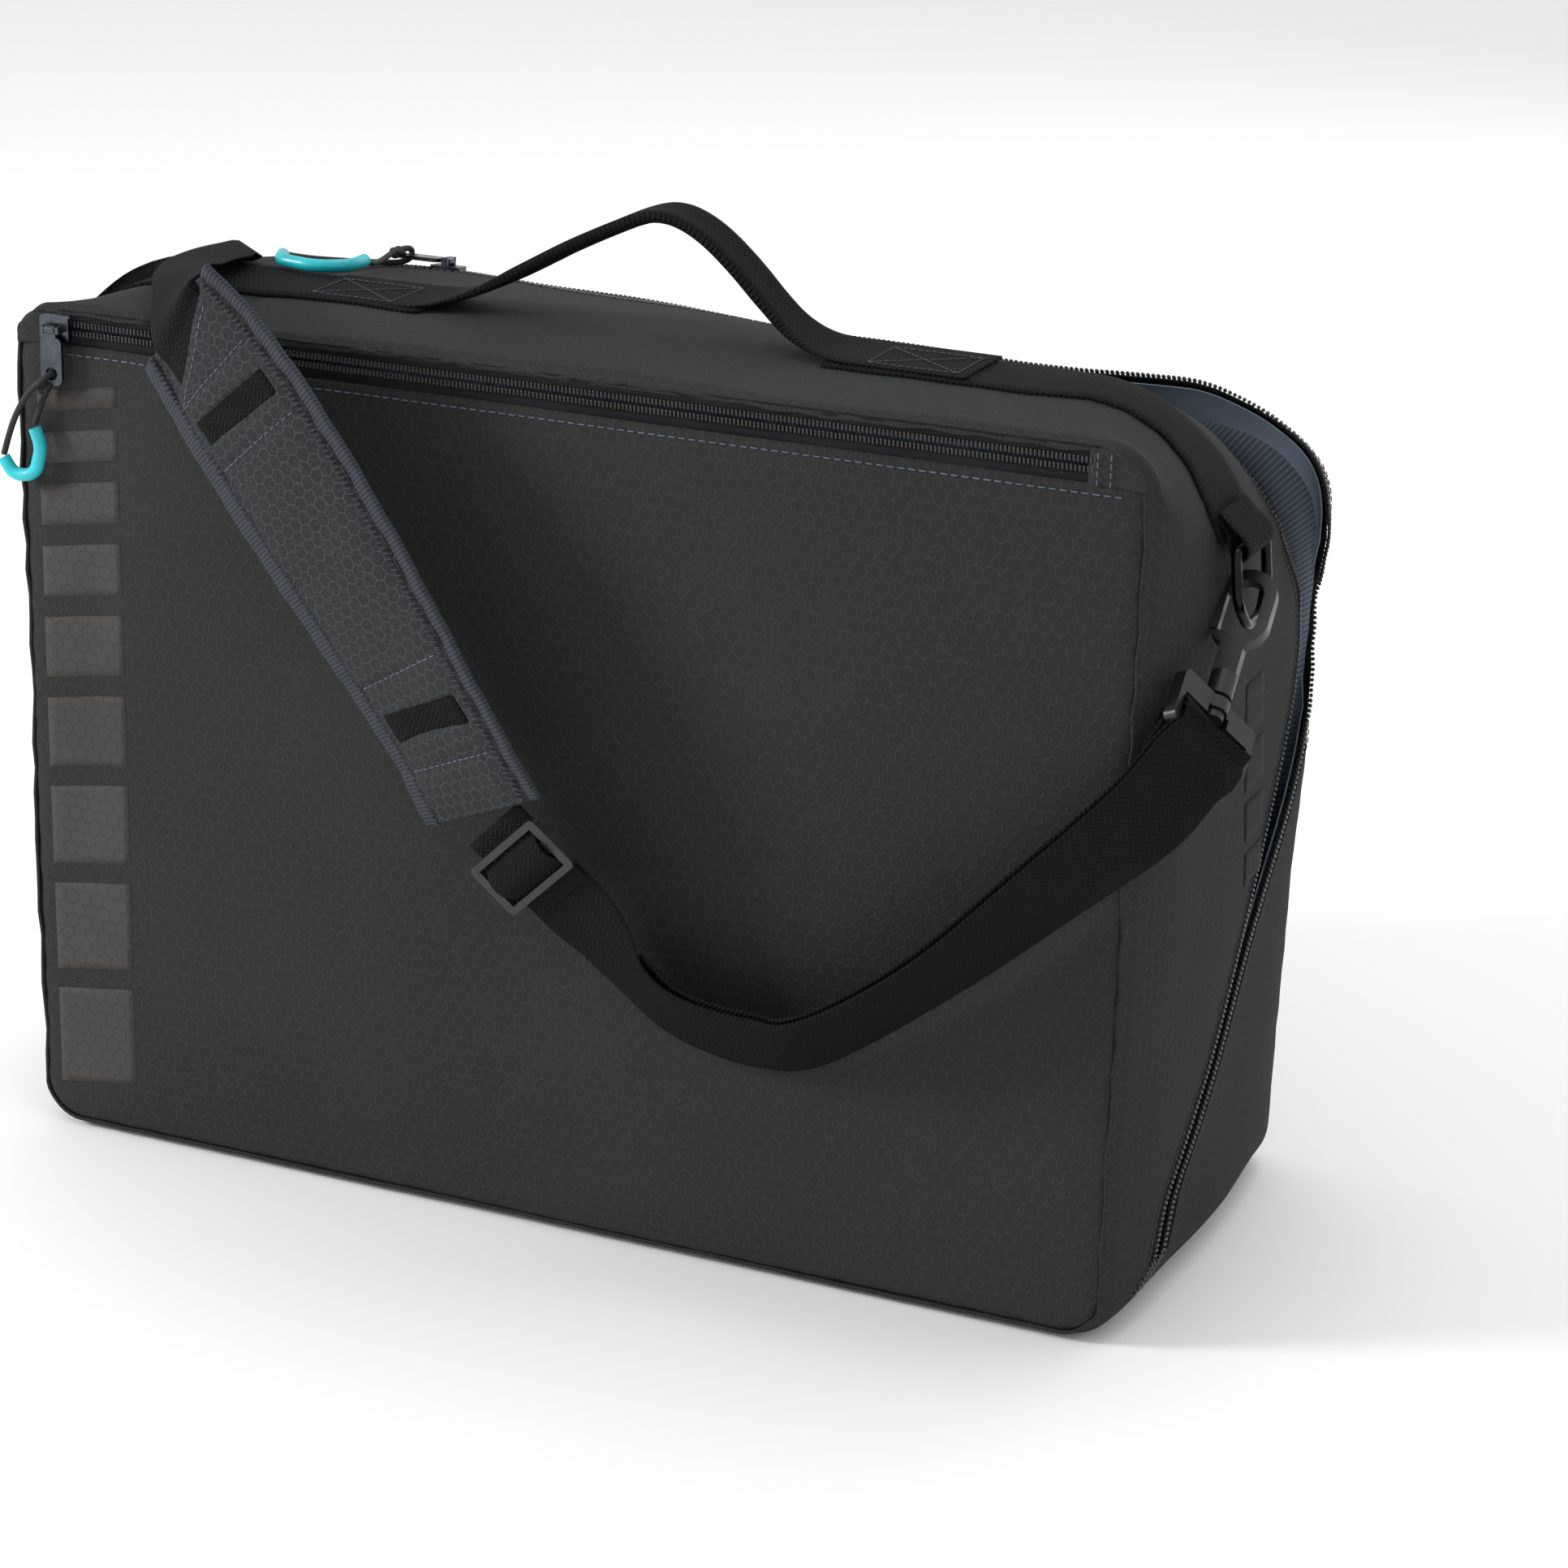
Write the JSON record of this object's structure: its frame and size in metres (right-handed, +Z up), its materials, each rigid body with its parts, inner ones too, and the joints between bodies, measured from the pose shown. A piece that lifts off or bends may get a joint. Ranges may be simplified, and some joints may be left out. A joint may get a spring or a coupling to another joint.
{
  "type": "ski boot bag",
  "caption": "Padded box-shaped bag for a pair of ski boots, with an L-shaped end-opening zip, a flat front pocket, a carry handle and a clip-on padded shoulder strap.",
  "frame": {"origin": "centre of the flat base's underside", "axes": "+Z up, +X along the length to the end that opens, +Y from the pocket side to the back"},
  "size_m": [0.5369, 0.2553, 0.3991],
  "materials": {
    "shell_fabric": "matt charcoal polyester with a raised honeycomb weave",
    "front_fabric": "matt charcoal polyester, flat weave",
    "lining": "blue-grey plain lining",
    "binding": "ribbed grey binding tape",
    "stiffener": "plain sheet",
    "zip_tape": "herringbone tape",
    "zip_coil": "nylon coil",
    "webbing": "black ribbed webbing",
    "pad_fabric": "matt charcoal polyester with a honeycomb weave",
    "ring_metal": "black coated wire",
    "slider_metal": "gunmetal",
    "black_plastic": "black moulded acetal",
    "cord": "black braided cord",
    "grip": "soft cyan tube"
  },
  "bodies": {
    "bag": {"back_panel": "shell_fabric", "base_panel": "shell_fabric", "base_stiffener": "stiffener", "front_panel": "front_fabric", "front_seam_binding": "binding", "handle_anchors": "webbing", "hook_frame_left": "black_plastic", "hook_frame_right": "black_plastic", "left_end_panel": "shell_fabric", "main_coil_front": "zip_coil", "main_lining": "lining", "main_tape_front": "zip_tape", "pad_edge_binding": "binding", "pocket_coil": "zip_coil", "pocket_divider": "lining", "pocket_tape_lower": "zip_tape", "pocket_tape_upper": "zip_tape", "pocket_zip_end_left": "front_fabric", "pocket_zip_end_right": "front_fabric", "rear_seam_binding": "binding", "right_end_gusset": "shell_fabric", "right_end_panel": "shell_fabric", "ring_loop_left": "webbing", "ring_loop_right": "webbing", "shoulder_pad": "pad_fabric", "strap_webbing_left": "webbing", "strap_webbing_return": "webbing", "strap_webbing_right": "webbing", "strap_webbing_under_pad": "webbing", "top_panel": "shell_fabric", "webbing_band_left": "webbing", "webbing_band_right": "webbing"},
    "flap": {"flap_back_panel": "shell_fabric", "flap_gusset": "shell_fabric", "flap_lining": "lining", "flap_seam_binding": "binding", "main_coil_flap": "zip_coil", "main_tape_flap": "zip_tape"},
    "handle": {"carry_handle": "webbing"},
    "pocket_slider": {"pocket_slider": "slider_metal"},
    "pocket_tab": {"pocket_pull_tab": "slider_metal"},
    "pocket_pull": {"pocket_pull_cord": "cord", "pocket_pull_grip": "grip"},
    "main_slider": {"main_slider": "slider_metal"},
    "main_tab": {"main_pull_tab": "slider_metal"},
    "main_pull": {"main_pull_cord": "cord", "main_pull_grip": "grip"},
    "ring_left": {"d_ring_left": "ring_metal"},
    "ring_right": {"d_ring_right": "ring_metal"},
    "hook_left": {"hook_body_left": "black_plastic"},
    "hook_right": {"hook_body_right": "black_plastic"},
    "gate_left": {"hook_gate_left": "black_plastic"},
    "gate_right": {"hook_gate_right": "black_plastic"},
    "glide": {"tri_glide": "black_plastic"}
  },
  "joints": [
    {"name": "flap_fold", "type": "hinge", "parent": "bag", "child": "flap", "pos_m": [-0.15, 0.1, 0.347], "axis": [-0.8487, 0, 0.5288], "range_deg": [0, 70]},
    {"name": "handle_swing", "type": "hinge", "parent": "bag", "child": "handle", "pos_m": [0.003, -0.0255, 0.353], "axis": [1, 0, 0], "range_deg": [-40, 40]},
    {"name": "pocket_zip_slide", "type": "slide", "parent": "bag", "child": "pocket_slider", "axis": [1, 0, 0], "range_m": [0, 0.412]},
    {"name": "pocket_tab_swing", "type": "hinge", "parent": "pocket_slider", "child": "pocket_tab", "pos_m": [-0.213, -0.1051, 0.3415], "axis": [-1, 0, 0], "range_deg": [0, 150]},
    {"name": "pocket_pull_swing", "type": "hinge", "parent": "pocket_tab", "child": "pocket_pull", "pos_m": [-0.213, -0.1051, 0.324], "axis": [0, 1, 0], "range_deg": [-25, 40]},
    {"name": "main_zip_slide", "type": "slide", "parent": "bag", "child": "main_slider", "axis": [1, 0, 0], "range_m": [0, 0.27]},
    {"name": "main_tab_swing", "type": "hinge", "parent": "main_slider", "child": "main_tab", "pos_m": [-0.128, 0.06253, 0.34644], "axis": [0, 0.9931, -0.1176], "range_deg": [0, 50]},
    {"name": "main_pull_swing", "type": "hinge", "parent": "main_tab", "child": "main_pull", "pos_m": [-0.1455, 0.06253, 0.34644], "axis": [0, 0.1176, 0.9931], "range_deg": [-1, 4]},
    {"name": "ring_swing_left", "type": "hinge", "parent": "bag", "child": "ring_left", "pos_m": [-0.25, -0.0255, 0.205], "axis": [0, 1, 0], "range_deg": [-5, 5]},
    {"name": "ring_swing_right", "type": "hinge", "parent": "bag", "child": "ring_right", "pos_m": [0.25, -0.0255, 0.3], "axis": [0, 1, 0], "range_deg": [-5, 5]},
    {"name": "hook_swivel_left", "type": "hinge", "parent": "bag", "child": "hook_left", "pos_m": [-0.259, -0.0255, 0.23362], "axis": [-0.05, 0.05, 0.9975], "range_deg": [-8, 8]},
    {"name": "hook_swivel_right", "type": "hinge", "parent": "bag", "child": "hook_right", "pos_m": [0.25245, -0.0385, 0.27562], "axis": [0.035, -0.7799, -0.6249], "range_deg": [-8, 8]},
    {"name": "gate_spring_left", "type": "hinge", "parent": "hook_left", "child": "gate_left", "pos_m": [-0.25056, -0.02515, 0.24104], "axis": [0.0025, 0.9987, -0.0499], "range_deg": [0, 15], "stiffness_Nm_per_rad": 0.02},
    {"name": "gate_spring_right", "type": "hinge", "parent": "hook_right", "child": "gate_right", "pos_m": [0.2439, -0.04419, 0.27104], "axis": [0.0021, 0.6254, -0.7803], "range_deg": [0, 15], "stiffness_Nm_per_rad": 0.02},
    {"name": "glide_adjust", "type": "slide", "parent": "bag", "child": "glide", "axis": [0.7134, 0.1387, -0.6869], "range_m": [-0.005, 0.012]}
  ]
}
